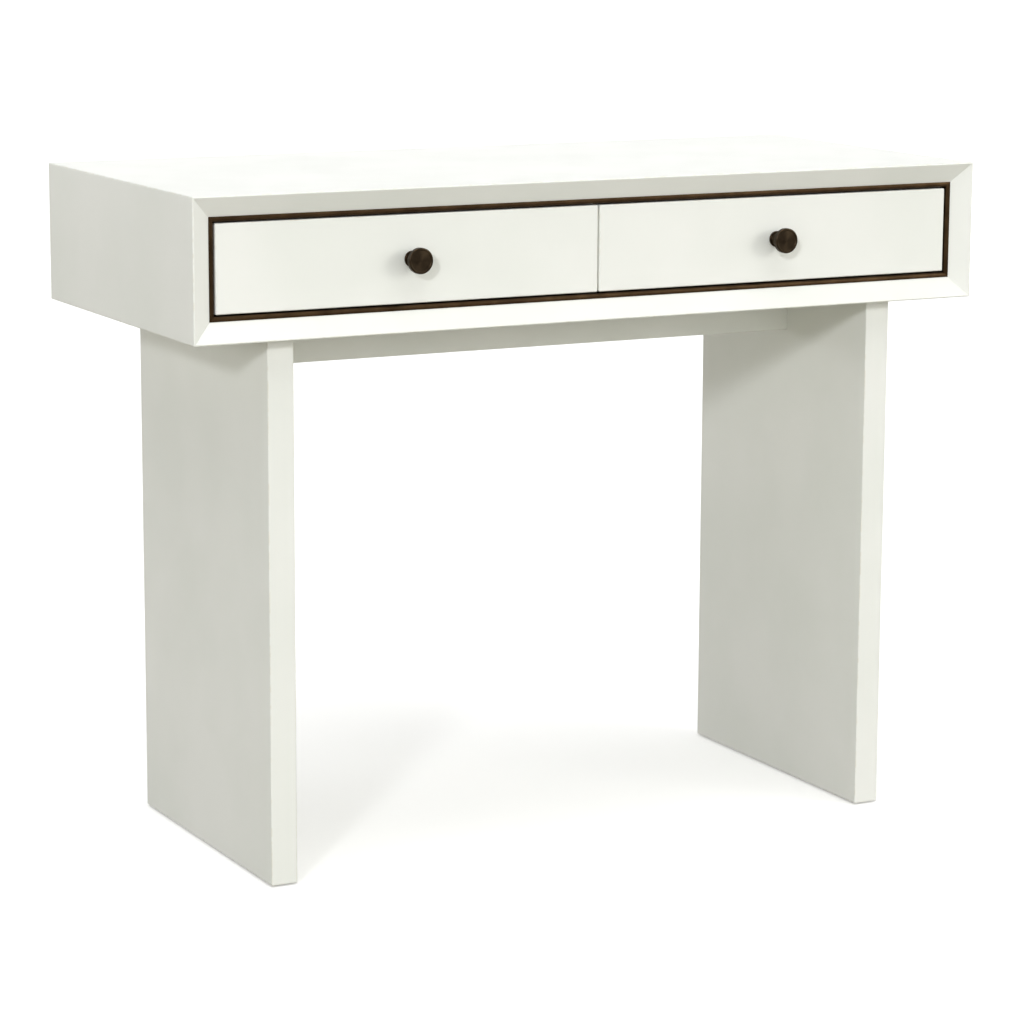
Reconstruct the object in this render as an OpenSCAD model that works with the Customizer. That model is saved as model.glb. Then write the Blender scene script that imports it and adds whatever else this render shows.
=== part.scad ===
// Console table: a mitred case with a bevelled front frame, a bronze trim line and two drawers
// on full-extension ball slides, carried by two slab legs that a rail ties together.
// Millimetres, +Z up, +X to the right, +Y to the back. The origin is on the floor, under the
// middle of the box that holds the whole closed table, knobs included.

/* [Case] */
// Width of the case
case_w = 1016; // [800:1:1400]
// Depth of the case, front rim to rear edge
case_d = 454; // [375:1:600]
// Height of the table, floor to top
table_h = 796; // [600:1:1000]
// Height of the case
case_h = 163.5; // [136:0.5:240]
// Thickness of the four case panels
panel_t = 24; // [20:0.5:30]
// Depth of the bevel on the front edge of the case panels
bevel_d = 13.5; // [6:0.5:18]
// Width of the flat rim outside the bevel
rim_w = 1.2; // [0.5:0.1:4]
// Thickness of the back panel
back_t = 6; // [4:0.5:9]
// Distance of the back panel inside the rear edges
back_set = 3; // [1:0.5:8]
// Width of the rabbet that holds the back panel
rabbet_w = 10; // [8:0.5:12]
// Thickness of the divider between the drawers
divider_t = 18; // [16:0.5:24]
// Depth of the dados that hold the divider
dado_d = 5; // [3:0.5:8]
// Thickness of the splines in the mitres
spline_t = 4; // [3:0.5:6]
// Width of the splines, across the mitre
spline_w = 16; // [12:1:18]
// Distance of the spline ends from the front and rear edges
spline_stop = 32; // [25:1:60]

/* [Trim] */
// Width of the bronze trim, seen from the front
trim_w = 5.5; // [4:0.5:9]
// Depth of the bronze trim
trim_d = 14; // [8:1:18]
// How far the trim stands in front of the bevel's inner edge
trim_proud = 0.6; // [0:0.1:2]
// Chamfer on the trim's inner front edge
trim_chamfer = 1.3; // [0.4:0.1:2]

/* [Base] */
// Distance of the legs inside the ends of the case
leg_inset = 98.5; // [60:0.5:180]
// Thickness of the slab legs
leg_t = 32; // [28:1:45]
// Distance of the legs behind the front of the case
leg_front = 28.5; // [5:0.5:80]
// Distance of the legs inside the back of the case
leg_back = 37; // [5:0.5:80]
// Height of the rail
rail_h = 58.5; // [46:0.5:100]
// Thickness of the rail
rail_t = 28; // [24:1:45]
// Radius of the floor glides
glide_r = 11; // [8:0.5:13]
// Height of the floor glides
glide_h = 2; // [1.5:0.5:6]

/* [Drawers] */
// How far the drawer fronts stand behind the bevel's inner edge
drawer_set = 0.4; // [0:0.1:4]
// Gap round the drawer fronts and between them
drawer_gap = 2; // [1.5:0.1:4]
// Thickness of the drawer fronts
front_t = 19; // [16:0.5:24]
// Thickness of the drawer box boards
box_t = 12; // [10:0.5:15]
// Height of the box above the lower edge of the drawer front
box_lift = 5; // [3:0.5:8]
// Distance of the box below the upper edge of the drawer front
box_drop = 16; // [8:0.5:18]
// Free space between the drawer box and the back panel
rear_gap = 10.1; // [8:0.1:40]
// Thickness of the drawer bottoms
bottom_t = 6; // [4:0.5:8]
// Height of the bottom above the lower edge of the box
bottom_lift = 8; // [6:0.5:10]
// Depth of the grooves that hold the bottom
groove_d = 6; // [4:0.5:8]
// Number of dovetails at each corner of a drawer box
tail_count = 3; // [2:1:4]
// Slope of the dovetails, in degrees
tail_slope = 8; // [5:1:10]
// Width of the pins between the dovetails, at the narrow end
pin_w = 7; // [5:0.5:9]

/* [Knobs] */
// Radius of the knob's disc
knob_r = 14.75; // [10:0.25:20]
// Thickness of the knob's disc
knob_t = 6.5; // [4:0.5:9]
// How far the knob stands out from the drawer front
knob_l = 25; // [22:0.5:35]
// Radius of the knob's neck at its waist
neck_r = 5.6; // [4:0.1:7]
// Radius of the knob's foot
foot_r = 9.4; // [7.5:0.1:12]
// Thickness of the knob's foot
foot_t = 2.6; // [1.5:0.1:4]

/* [Slides] */
// Thickness of a complete slide
slide_t = 12.7; // [12.5:0.1:16]
// Height of a slide
slide_h = 45; // [42:0.5:50]
// Distance of the slide behind the front of the drawer box
slide_set = 2; // [1:0.5:6]
// Thickness of the slide steel
steel_t = 1.2; // [1:0.1:1.5]
// Room for screw heads between the outer and the middle rail
head_room = 3; // [2.8:0.1:3.5]
// Radius of the balls
ball_r = 1.6; // [1.5:0.05:1.8]
// Length of the ball cages
cage_l = 150; // [100:5:180]
// Number of balls in one strip of a cage
ball_count = 6; // [4:1:10]
// Height of the spacers behind the slides on the case ends
spacer_h = 58; // [50:1:64]

/* [Fastenings] */
// Radius of the wood screws
screw_r = 2; // [1.75:0.05:2.25]
// Radius of the screw heads
screw_head_r = 3.7; // [3.4:0.1:4]
// Length of the screws that hold the drawer boxes together
box_screw_l = 25; // [22:1:28]
// Length of the screws that hold the back panel
back_screw_l = 20; // [16:1:30]
// Length of the screws from the case into the rail
rail_screw_l = 50; // [45:1:60]
// Length of the slide screws that go through a spacer
long_slide_screw_l = 18; // [16:0.5:22]
// Length of the other slide screws
short_slide_screw_l = 9; // [7:0.5:9]
// Radius of the bolts that hold the legs
bolt_r = 4; // [3:0.5:4.5]
// Length of the leg bolts
bolt_l = 42; // [36:1:50]
// Outer radius of the threaded inserts
insert_r = 6; // [5.5:0.5:7]
// Length of the threaded inserts
insert_l = 20; // [15:1:24]
// Distance of the outer leg bolts from the leg's edges
bolt_edge = 60; // [40:1:90]
// Number of bolts in each leg, an even number that leaves the rail's place free
bolt_count = 4; // [2:2:4]
// Radius of the rail dowels
dowel_r = 4; // [3:0.5:5]
// Length of the rail dowels
dowel_l = 40; // [30:1:48]
// Distance between the two dowels at each end of the rail
dowel_gap = 26; // [20:1:30]
// Radius of the knob screws
knob_screw_r = 2; // [1.5:0.1:2.5]
// How far the knob screw enters the knob
knob_grip = 10; // [8:0.5:13]

/* [Clearances] */
// Play between pieces that fit in each other's slots and holes
fit = 0.1; // [0.05:0.01:0.2]
// Play around shanks that pass a hole
shank_play = 0.3; // [0.2:0.05:0.5]
// Play between the balls and their races
ball_play = 0.3; // [0.3:0.05:0.4]
// Play between the divider and the backs of the drawer fronts
divider_play = 1; // [0.5:0.1:3]

/* [Hidden] */

$fn = 48;
left = -1;
right = 1;
over = 1; // how far a cut runs past the face that it opens

// colours
lacquer = "#f1f1ea";
bronze = "#4a3728";
maple = "#e3cfa8";
birch = "#d9bf91";
beech = "#c9a06c";
zinc = "#b9bdc0";
steel = "#8e9296";
nylon = "#4d4d4d";

// case, measured from the plane of the front rim and from the floor
case_z = table_h - case_h;
inner_z0 = case_z + panel_t;
inner_z1 = table_h - panel_t;
inner_x = case_w / 2 - panel_t;
rabbet_d = back_t + back_set;
back_y = case_d - rabbet_d;
mitre = 45;
spline_share = 0.6; // the splines sit nearer to the inner faces of the panels
spline_at = panel_t * spline_share;
back_row_n = 4; // screws along each long edge of the back panel
back_row_reach = 2 / 3; // how far such a row reaches from the middle towards the ends

// drawers
face_y = bevel_d + drawer_set;
box_y = face_y + front_t;
edge_gap = trim_w + drawer_gap;
front_x0 = drawer_gap / 2;
front_x1 = inner_x - edge_gap;
front_z0 = inner_z0 + edge_gap;
front_z1 = inner_z1 - edge_gap;
divider_y = box_y + divider_play;
spacer_t = edge_gap;
box_x0 = divider_t / 2 + slide_t;
box_x1 = inner_x - spacer_t - slide_t;
box_w = box_x1 - box_x0;
box_l = back_y - rear_gap - box_y;
box_z = front_z0 + box_lift;
box_h = front_z1 - box_drop - box_z;
bottom_z = box_z + bottom_lift;
box_back_z = bottom_z + bottom_t + fit;
box_back_h = box_z + box_h - box_back_z;
box_mid_x = (box_x0 + box_x1) / 2;
box_screw_in = 4 * box_t; // distance of the box screws inside the sides of the box

// slides
slide_y = box_y + slide_set;
slide_z = box_z + box_h / 2;
slide_l = box_l - slide_set;
race_h = 2 * (ball_r + ball_play);
middle_u = steel_t + head_room;
inner_u = slide_t - steel_t;
flange_play = 0.5;
flange_end = inner_u - flange_play;
outer_half = slide_h / 2;
middle_half = outer_half - steel_t - race_h;
inner_half = middle_half - steel_t - race_h;
inner_flange_u = middle_u + steel_t + flange_play;
outer_race_z = middle_half + race_h / 2;
inner_race_z = inner_half + race_h / 2;
outer_race_u = (middle_u + flange_end) / 2;
inner_race_u = (inner_flange_u + flange_end) / 2;
cage_t = 0.8;
cage_w = 4.4;
cage_y = (slide_l - cage_l) / 2;
ball_pitch = cage_l / ball_count;
slide_hole_edge = 35;
slide_holes = [slide_hole_edge, slide_l / 2, slide_l - slide_hole_edge];
access_r = 4.5; // holes in the moving rails that let a screwdriver through
pan_h = 1.8;
pan_r = 3.3;

// knob, as distances out from the drawer front
knob_x = (front_x0 + front_x1) / 2;
knob_z = (front_z0 + front_z1) / 2;
knob_edge = 0.9;
knob_dish = 0.5;
neck_flare = 2.2;
neck_steps = 10;
knob_reach = knob_l - face_y;
knob_screw_l = box_t + front_t + knob_grip;
knob_screw_head_h = 2.4;
knob_screw_head_r = 4;

// base
leg_x = case_w / 2 - leg_inset - leg_t;
leg_mid_x = leg_x + leg_t / 2;
leg_d = case_d - leg_front - leg_back;
leg_mid_y = leg_front + leg_d / 2;
leg_h = case_z - glide_h;
rail_z = case_z - rail_h;
rail_mid_z = rail_z + rail_h / 2;
bolt_pitch = (leg_d - 2 * bolt_edge) / (bolt_count - 1);
bolt_ys = [for (i = [0 : bolt_count - 1]) leg_front + bolt_edge + i * bolt_pitch];
bolt_head_h = 8;
bolt_head_r = 6.5;
bolt_key_r = 3.5;
bolt_key_h = 4;
key_sides = 6;
washer_r = 8.5;
washer_t = 1.6;
head_below = 0.6; // the bolt heads end this far below the floor of the case
bolt_seat_z = inner_z0 - head_below - bolt_head_h - washer_t;
rail_screw_n = 4;
rail_screw_pitch = (2 * leg_x) / rail_screw_n;
nail_r = 1.3;
nail_l = 16;
glide_edge = 0.5;
glide_ys = [leg_front + 2 * glide_r, leg_front + leg_d - 2 * glide_r];

// origin: the middle of the box that holds the case and the knobs
front_y = -(case_d - knob_reach) / 2;

// helpers

// puts what is drawn from the front rim backwards at its place in the table
module placed() {
    translate([0, front_y, 0]) children();
}

// what is drawn on the right (+X), on the side that is named
module on_side(side) {
    placed() mirror([side == left ? 1 : 0, 0, 0]) children();
}

// extrudes a Y-Z outline along +X
module along_x(length) {
    rotate([90, 0, 90]) linear_extrude(length) children();
}

// extrudes an X-Z outline along +Y
module along_y(length) {
    translate([0, length, 0]) rotate([90, 0, 0]) linear_extrude(length) children();
}

// cross recess in the top of a screw head at z = 0
module cross_recess(reach, depth) {
    slot = 0.9;
    for (turn = [0, 90]) {
        rotate([0, 0, turn]) {
            translate([-reach, -slot / 2, -depth]) cube([2 * reach, slot, depth + over]);
        }
    }
}

// countersunk screw, head at z = 0, point down; play widens it into its own hole
module sunk_screw(length, play = 0) {
    tip = 2 * screw_r;
    head_h = screw_head_r - screw_r;
    difference() {
        union() {
            translate([0, 0, -head_h]) {
                cylinder(r1 = screw_r + play, r2 = screw_head_r + play, h = head_h);
            }
            translate([0, 0, tip - length]) cylinder(r = screw_r + play, h = length - tip);
            translate([0, 0, -length - play]) {
                cylinder(r1 = play + fit, r2 = screw_r + play, h = tip + play);
            }
        }
        if (play == 0) cross_recess(screw_r, head_h / 2);
    }
}

// pan-head screw, underside of the head at z = 0, point down
module pan_screw(length, play = 0) {
    tip = screw_r;
    difference() {
        union() {
            cylinder(r = pan_r + play, h = pan_h + play);
            translate([0, 0, tip - length]) cylinder(r = screw_r + play, h = length - tip);
            translate([0, 0, -length - play]) {
                cylinder(r1 = play + fit, r2 = screw_r + play, h = tip + play);
            }
        }
        if (play == 0) translate([0, 0, pan_h]) cross_recess(screw_r, pan_h / 2);
    }
}

// case

// a case panel lying flat: outer face up at z = 0, front rim at y = 0, mitred ends
module mitred_panel(length) {
    intersection() {
        translate([-length / 2, 0, 0]) along_x(length) polygon([
            [0, 0], [0, -rim_w], [bevel_d, -panel_t],
            [case_d - rabbet_d, -panel_t], [case_d - rabbet_d, rabbet_w - panel_t],
            [case_d, rabbet_w - panel_t], [case_d, 0]
        ]);
        along_y(case_d) polygon([
            [-length / 2, 0], [length / 2, 0],
            [length / 2 - panel_t, -panel_t], [panel_t - length / 2, -panel_t]
        ]);
    }
}

// the four splines that cross the mitres; play widens them into their slots
module splines(play = 0) {
    spline_l = case_d - 2 * spline_stop;
    for (sx = [-1, 1], sz = [0, 1]) {
        x = sx * (case_w / 2 - spline_at);
        z = sz == 0 ? case_z + spline_at : table_h - spline_at;
        tilt = (sz == 0 ? 1 : -1) * sx * mitre;
        translate([x, spline_stop - play, z]) rotate([0, tilt, 0]) {
            translate([-spline_w / 2 - play, 0, -spline_t / 2 - play]) {
                cube([spline_w + 2 * play, spline_l + 2 * play, spline_t + 2 * play]);
            }
        }
    }
}

// the divider; play widens it into its dados
module divider_board(play = 0) {
    translate([-divider_t / 2 - play, divider_y - play, inner_z0 - dado_d - play]) {
        cube([
            divider_t + 2 * play, back_y - divider_y + play,
            inner_z1 - inner_z0 + 2 * (dado_d + play)
        ]);
    }
}

// the screws through the back panel; play widens them into their holes
module back_screws(play = 0) {
    shoulder = rabbet_w / 2;
    side_x = inner_x + shoulder;
    mid_z = (inner_z0 + inner_z1) / 2;
    row_x = side_x * back_row_reach;
    pitch = 2 * row_x / (back_row_n - 1);
    spots = concat(
        [for (i = [0 : back_row_n - 1], z = [inner_z0 - shoulder, inner_z1 + shoulder])
            [-row_x + i * pitch, z]],
        [[-side_x, mid_z], [side_x, mid_z]],
        [[0, mid_z - panel_t], [0, mid_z + panel_t]]
    );
    for (spot = spots) {
        translate([spot[0], back_y + back_t, spot[1]]) rotate([-90, 0, 0]) {
            sunk_screw(back_screw_l, play);
        }
    }
}

module top_panel() {
    color(lacquer) placed() difference() {
        translate([0, 0, table_h]) mitred_panel(case_w);
        splines(fit);
        divider_board(fit);
        back_screws(fit);
    }
}

module bottom_panel() {
    color(lacquer) placed() difference() {
        translate([0, 0, case_z]) rotate([0, 180, 0]) mitred_panel(case_w);
        splines(fit);
        divider_board(fit);
        back_screws(fit);
        bolt_holes();
        rail_screw_set(fit);
    }
}

module end_panel(side) {
    color(lacquer) placed() difference() {
        translate([side * case_w / 2, 0, case_z + case_h / 2]) rotate([0, side * 90, 0]) {
            mitred_panel(case_h);
        }
        splines(fit);
        back_screws(fit);
        for (s = [left, right]) mirror([s == left ? 1 : 0, 0, 0]) case_screws(fit);
    }
}

module mitre_splines() {
    color(birch) placed() splines();
}

module back_panel() {
    half_w = inner_x + rabbet_w - fit;
    color(lacquer) placed() difference() {
        translate([-half_w, back_y, inner_z0 - rabbet_w + fit]) {
            cube([2 * half_w, back_t, inner_z1 - inner_z0 + 2 * (rabbet_w - fit)]);
        }
        back_screws(fit);
    }
}

module back_panel_screws() {
    color(zinc) placed() back_screws();
}

module centre_divider() {
    color(lacquer) placed() difference() {
        divider_board();
        back_screws(fit);
        for (s = [left, right]) mirror([s == left ? 1 : 0, 0, 0]) case_screws(fit);
    }
}

// trim

// a trim strip lying under a panel: its outer face at z = 0, mitred ends
module trim_strip(length) {
    trim_y = bevel_d - trim_proud;
    intersection() {
        translate([-length / 2, 0, 0]) along_x(length) polygon([
            [trim_y, 0], [trim_y, trim_chamfer - trim_w], [trim_y + trim_chamfer, -trim_w],
            [trim_y + trim_d, -trim_w], [trim_y + trim_d, 0]
        ]);
        along_y(trim_y + trim_d) polygon([
            [-length / 2, 0], [length / 2, 0],
            [length / 2 - trim_w, -trim_w], [trim_w - length / 2, -trim_w]
        ]);
    }
}

module trim_top() {
    color(bronze) placed() translate([0, 0, inner_z1]) trim_strip(2 * inner_x);
}

module trim_bottom() {
    color(bronze) placed() translate([0, 0, inner_z0]) rotate([0, 180, 0]) trim_strip(2 * inner_x);
}

module trim_end(side) {
    color(bronze) placed() translate([side * inner_x, 0, (inner_z0 + inner_z1) / 2]) {
        rotate([0, side * 90, 0]) trim_strip(inner_z1 - inner_z0);
    }
}

// base

// the places of the leg bolts, at the seats of their washers
module at_bolts() {
    for (x = [-leg_mid_x, leg_mid_x], y = bolt_ys) translate([x, y, bolt_seat_z]) children();
}

// the holes that the bolts need in the floor of the case
module bolt_holes() {
    at_bolts() {
        cylinder(r = washer_r + fit, h = inner_z0 - bolt_seat_z + over);
        translate([0, 0, case_z - bolt_seat_z - over]) {
            cylinder(r = bolt_r + shank_play, h = bolt_seat_z - case_z + 2 * over);
        }
    }
}

// the rail dowels; play widens them into their holes
module dowels(play = 0) {
    for (sx = [-1, 1], sz = [-1, 1]) {
        translate([sx * leg_x, leg_mid_y, rail_mid_z + sz * dowel_gap / 2]) rotate([0, 90, 0]) {
            cylinder(r = dowel_r + play, h = dowel_l + 2 * play, center = true);
        }
    }
}

// the screws from the floor of the case into the rail
module rail_screw_set(play = 0) {
    for (i = [0 : rail_screw_n - 1]) {
        translate([(i + 0.5) * rail_screw_pitch - leg_x, leg_mid_y, inner_z0]) {
            sunk_screw(rail_screw_l, play);
        }
    }
}

// the places of the floor glides
module at_glides() {
    for (x = [-leg_mid_x, leg_mid_x], y = glide_ys) translate([x, y, 0]) children();
}

module leg(side) {
    color(lacquer) placed() difference() {
        translate([side * leg_mid_x - leg_t / 2, leg_front, glide_h]) cube([leg_t, leg_d, leg_h]);
        at_bolts() {
            translate([0, 0, case_z - bolt_seat_z - insert_l]) {
                cylinder(r = insert_r + fit, h = insert_l + over);
            }
            translate([0, 0, washer_t - bolt_l - 2 * over]) {
                cylinder(r = bolt_r + shank_play, h = bolt_l + 2 * over);
            }
        }
        dowels(fit);
        at_glides() cylinder(r = nail_r + fit, h = glide_h + nail_l + fit);
    }
}

module leg_bolts() {
    color(zinc) placed() at_bolts() translate([0, 0, washer_t]) {
        difference() {
            cylinder(r = bolt_head_r, h = bolt_head_h);
            translate([0, 0, bolt_head_h - bolt_key_h]) {
                cylinder(r = bolt_key_r, h = bolt_key_h + over, $fn = key_sides);
            }
        }
        translate([0, 0, -bolt_l]) cylinder(r = bolt_r, h = bolt_l + over);
    }
}

module leg_bolt_washers() {
    color(zinc) placed() at_bolts() difference() {
        cylinder(r = washer_r, h = washer_t);
        translate([0, 0, -over]) cylinder(r = bolt_r + shank_play, h = washer_t + 2 * over);
    }
}

module leg_bolt_inserts() {
    color(steel) placed() at_bolts() translate([0, 0, case_z - bolt_seat_z - insert_l]) {
        difference() {
            cylinder(r = insert_r, h = insert_l);
            translate([0, 0, -over]) cylinder(r = bolt_r + fit / 2, h = insert_l + 2 * over);
        }
    }
}

module stretcher_rail() {
    color(lacquer) placed() difference() {
        translate([-leg_x, leg_mid_y - rail_t / 2, rail_z]) cube([2 * leg_x, rail_t, rail_h]);
        dowels(fit);
        rail_screw_set(fit);
    }
}

module rail_dowels() {
    color(beech) placed() dowels();
}

module rail_screws() {
    color(zinc) placed() rail_screw_set();
}

module floor_glides() {
    color(nylon) placed() at_glides() {
        cylinder(r1 = glide_r - glide_edge, r2 = glide_r, h = glide_edge);
        translate([0, 0, glide_edge]) cylinder(r = glide_r, h = glide_h - glide_edge);
        cylinder(r = nail_r, h = glide_h + nail_l);
    }
}

// slides: u runs from the case side of a slide to its drawer side

// the two slides of the drawer on the right: one on the divider, one on the end's spacer
module at_slides() {
    translate([divider_t / 2, slide_y, slide_z]) children();
    translate([inner_x - spacer_t, slide_y, slide_z]) mirror([1, 0, 0]) children();
}

// a channel with its web at web_u and its flanges from u0 to u1
module channel(web_u, u0, u1, half_h) {
    translate([web_u, 0, -half_h]) cube([steel_t, slide_l, 2 * half_h]);
    for (z = [-half_h, half_h - steel_t]) translate([u0, 0, z]) cube([u1 - u0, slide_l, steel_t]);
}

// round holes through the webs, at the places of the slide screws
module web_holes(radius) {
    for (y = slide_holes) {
        translate([-over, y, 0]) rotate([0, 90, 0]) cylinder(r = radius, h = slide_t + 2 * over);
    }
}

// the screws of the case side, for the drawer on the right
module case_screws(play = 0) {
    for (y = slide_holes) {
        translate([divider_t / 2 + steel_t, slide_y + y, slide_z]) rotate([0, 90, 0]) {
            pan_screw(short_slide_screw_l, play);
        }
        translate([inner_x - spacer_t - steel_t, slide_y + y, slide_z]) rotate([0, -90, 0]) {
            pan_screw(long_slide_screw_l, play);
        }
    }
}

// the screws of the drawer side, for the drawer on the right
module drawer_screws(play = 0) {
    at_slides() for (y = slide_holes) {
        translate([inner_u, y, 0]) rotate([0, -90, 0]) pan_screw(short_slide_screw_l, play);
    }
}

// the strips of a cage at the height race_z on both sides of the slide, less their ball holes
module cage_strips(race_u, race_z) {
    hole_r = ball_r + fit;
    for (sz = [-1, 1]) translate([race_u, cage_y, sz * race_z]) difference() {
        translate([-cage_w / 2, 0, -cage_t / 2]) cube([cage_w, cage_l, cage_t]);
        for (i = [0 : ball_count - 1]) {
            translate([0, (i + 0.5) * ball_pitch, -cage_t]) cylinder(r = hole_r, h = 2 * cage_t);
        }
    }
}

module balls(race_u, race_z) {
    for (sz = [-1, 1], i = [0 : ball_count - 1]) {
        translate([race_u, cage_y + (i + 0.5) * ball_pitch, sz * race_z]) sphere(r = ball_r);
    }
}

module slide_spacer(side) {
    color(birch) on_side(side) difference() {
        translate([inner_x - spacer_t, slide_y, slide_z - spacer_h / 2]) {
            cube([spacer_t, slide_l, spacer_h]);
        }
        case_screws(fit);
    }
}

module slide_outer_rails(side) {
    color(zinc) on_side(side) at_slides() difference() {
        channel(0, 0, flange_end, outer_half);
        web_holes(screw_r + shank_play);
    }
}

module slide_middle_rails(side) {
    color(zinc) on_side(side) at_slides() difference() {
        channel(middle_u, middle_u, flange_end, middle_half);
        web_holes(access_r);
    }
}

module slide_inner_rails(side) {
    color(zinc) on_side(side) at_slides() difference() {
        channel(inner_u, inner_flange_u, inner_u + steel_t, inner_half);
        web_holes(screw_r + shank_play);
    }
}

module slide_outer_cages(side) {
    color(nylon) on_side(side) at_slides() cage_strips(outer_race_u, outer_race_z);
}

module slide_inner_cages(side) {
    color(nylon) on_side(side) at_slides() cage_strips(inner_race_u, inner_race_z);
}

module slide_outer_balls(side) {
    color(steel) on_side(side) at_slides() balls(outer_race_u, outer_race_z);
}

module slide_inner_balls(side) {
    color(steel) on_side(side) at_slides() balls(inner_race_u, inner_race_z);
}

module case_slide_screws() {
    color(zinc) for (side = [left, right]) on_side(side) case_screws();
}

module drawer_slide_screws(side) {
    color(zinc) on_side(side) drawer_screws();
}

// drawers, drawn on the right

// dovetails of one corner over the height h: tips at 0, shoulders at box_t
module tails(h) {
    pitch = h / tail_count;
    narrow = pitch - pin_w - 2 * box_t * tan(tail_slope);
    wide = pitch - pin_w;
    for (i = [0 : tail_count - 1]) translate([0, (i + 0.5) * pitch]) {
        polygon([[0, -wide / 2], [box_t, -narrow / 2], [box_t, narrow / 2], [0, wide / 2]]);
    }
}

// what lies between the dovetails of one corner
module pins(h) {
    difference() {
        square([box_t, h]);
        tails(h);
    }
}

// the drawer bottom; play widens it into its grooves
module bottom_board(play = 0) {
    inset = box_t - groove_d;
    translate([box_x0 + inset - play, box_y + inset - play, bottom_z - play]) {
        cube([
            box_w - 2 * (inset - play), box_l - inset + 2 * play, bottom_t + 2 * play
        ]);
    }
}

// the screws of the box: four into the drawer front, three up into the box back
module box_screw_set(play = 0) {
    screw_x = box_w / 2 - box_screw_in;
    screw_z = box_h / 4;
    for (sx = [-1, 1], sz = [-1, 1]) {
        translate([box_mid_x + sx * screw_x, box_y + box_t, box_z + box_h / 2 + sz * screw_z]) {
            rotate([-90, 0, 0]) sunk_screw(box_screw_l, play);
        }
    }
    for (sx = [-1, 0, 1]) {
        translate([box_mid_x + sx * screw_x, box_y + box_l - box_t / 2, bottom_z]) {
            rotate([180, 0, 0]) sunk_screw(box_screw_l, play);
        }
    }
}

// the knob's screw, from inside the box; play widens it into its holes
module knob_screw_shape(play = 0) {
    translate([knob_x, box_y + box_t, knob_z]) rotate([90, 0, 0]) {
        cylinder(r = knob_screw_r + play, h = knob_screw_l + play);
    }
}

module box_side(x) {
    difference() {
        translate([x, box_y, box_z]) along_x(box_t) difference() {
            square([box_l, box_h]);
            pins(box_h);
            translate([box_l, box_back_z - box_z]) mirror([1, 0]) pins(box_back_h);
        }
        bottom_board(fit);
        drawer_screws(fit);
    }
}

module drawer_front(side) {
    color(lacquer) on_side(side) difference() {
        translate([front_x0, face_y, front_z0]) {
            cube([front_x1 - front_x0, front_t, front_z1 - front_z0]);
        }
        box_screw_set(fit);
        knob_screw_shape(shank_play);
    }
}

module knob(side) {
    disc_y = knob_l - knob_t;
    neck_y = foot_t + knob_edge;
    flare = function (s) neck_r + neck_flare * pow(2 * s - 1, 2);
    color(bronze) on_side(side) translate([knob_x, face_y, knob_z]) rotate([90, 0, 0]) {
        difference() {
            rotate_extrude() polygon(concat(
                [[0, 0], [foot_r - knob_edge / 2, 0], [foot_r, knob_edge / 2],
                    [foot_r, foot_t - knob_edge / 2], [foot_r - knob_edge / 2, foot_t]],
                [for (i = [0 : neck_steps]) let (s = i / neck_steps)
                    [flare(s), neck_y + s * (disc_y - neck_y)]],
                [[knob_r - knob_edge, disc_y], [knob_r, disc_y + knob_edge],
                    [knob_r, knob_l - knob_edge], [knob_r - knob_edge, knob_l],
                    [knob_r - 2 * knob_edge, knob_l - knob_dish], [0, knob_l - knob_dish]]
            ));
            translate([0, 0, -over]) {
                cylinder(r = knob_screw_r + fit / 2, h = knob_grip + 2 * over);
            }
        }
    }
}

module knob_screw(side) {
    color(zinc) on_side(side) {
        knob_screw_shape();
        translate([knob_x, box_y + box_t, knob_z]) rotate([-90, 0, 0]) difference() {
            cylinder(r = knob_screw_head_r, h = knob_screw_head_h);
            translate([0, 0, knob_screw_head_h]) cross_recess(knob_screw_r, knob_screw_head_h / 2);
        }
    }
}

module box_front(side) {
    color(maple) on_side(side) difference() {
        translate([box_x0, box_y, box_z]) cube([box_w, box_t, box_h]);
        for (x = [box_x0, box_x1 - box_t]) translate([x, box_y, box_z]) along_x(box_t) tails(box_h);
        bottom_board(fit);
        box_screw_set(fit);
        knob_screw_shape(shank_play);
    }
}

module box_back(side) {
    color(maple) on_side(side) difference() {
        translate([box_x0, box_y + box_l - box_t, box_back_z]) cube([box_w, box_t, box_back_h]);
        for (x = [box_x0, box_x1 - box_t]) {
            translate([x, box_y + box_l, box_back_z]) along_x(box_t) mirror([1, 0]) tails(box_back_h);
        }
        box_screw_set(fit);
    }
}

module box_inner_side(side) {
    color(maple) on_side(side) box_side(box_x0);
}

module box_outer_side(side) {
    color(maple) on_side(side) box_side(box_x1 - box_t);
}

module box_bottom(side) {
    color(birch) on_side(side) difference() {
        bottom_board();
        box_screw_set(fit);
    }
}

module box_screws(side) {
    color(zinc) on_side(side) box_screw_set();
}

top_panel();
bottom_panel();
end_panel(left);  // left_end_panel
end_panel(right);  // right_end_panel
mitre_splines();
back_panel();
back_panel_screws();
centre_divider();
trim_top();
trim_bottom();
trim_end(left);  // trim_left
trim_end(right);  // trim_right
leg(left);  // left_leg
leg(right);  // right_leg
leg_bolts();
leg_bolt_washers();
leg_bolt_inserts();
stretcher_rail();
rail_dowels();
rail_screws();
floor_glides();
slide_spacer(left);  // left_slide_spacer
slide_spacer(right);  // right_slide_spacer
slide_outer_rails(left);  // left_slide_outer_rails
slide_outer_rails(right);  // right_slide_outer_rails
case_slide_screws();
drawer_front(left);  // left_drawer_front
drawer_front(right);  // right_drawer_front
knob(left);  // left_knob
knob(right);  // right_knob
knob_screw(left);  // left_knob_screw
knob_screw(right);  // right_knob_screw
box_front(left);  // left_box_front
box_front(right);  // right_box_front
box_outer_side(left);  // left_box_outer_side
box_outer_side(right);  // right_box_outer_side
box_inner_side(left);  // left_box_inner_side
box_inner_side(right);  // right_box_inner_side
box_back(left);  // left_box_back
box_back(right);  // right_box_back
box_bottom(left);  // left_box_bottom
box_bottom(right);  // right_box_bottom
box_screws(left);  // left_box_screws
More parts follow.
